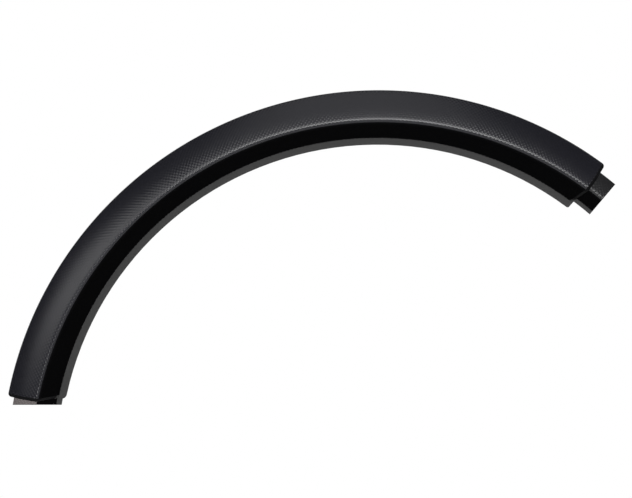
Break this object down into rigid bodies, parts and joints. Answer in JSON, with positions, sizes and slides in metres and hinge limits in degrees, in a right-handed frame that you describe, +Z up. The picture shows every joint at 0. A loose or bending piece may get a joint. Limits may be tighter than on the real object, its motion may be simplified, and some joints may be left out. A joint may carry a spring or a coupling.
{
  "type": "wheel arch trim",
  "caption": "Black grained plastic wheel arch trim with a rounded ridge, a smooth grey inner flange, a stepped tongue at each end and clip feet behind the face.",
  "frame": {"origin": "on the seat, the plane of the wing that the trim lies against, midway between the two crown fixing holes", "axes": "+X to the right as the trim is seen from outside the car, +Y from the outside into the wing, +Z up. The wheel axis is parallel to Y, 373 mm below the origin."},
  "size_m": [0.6411, 0.0467, 0.3368],
  "materials": {
    "black_plastic": "fine diamond grain on the face and the return wall, smooth and matt on the inner flange"
  },
  "bodies": {
    "root": {"arch_trim": "black_plastic"}
  },
  "joints": []
}
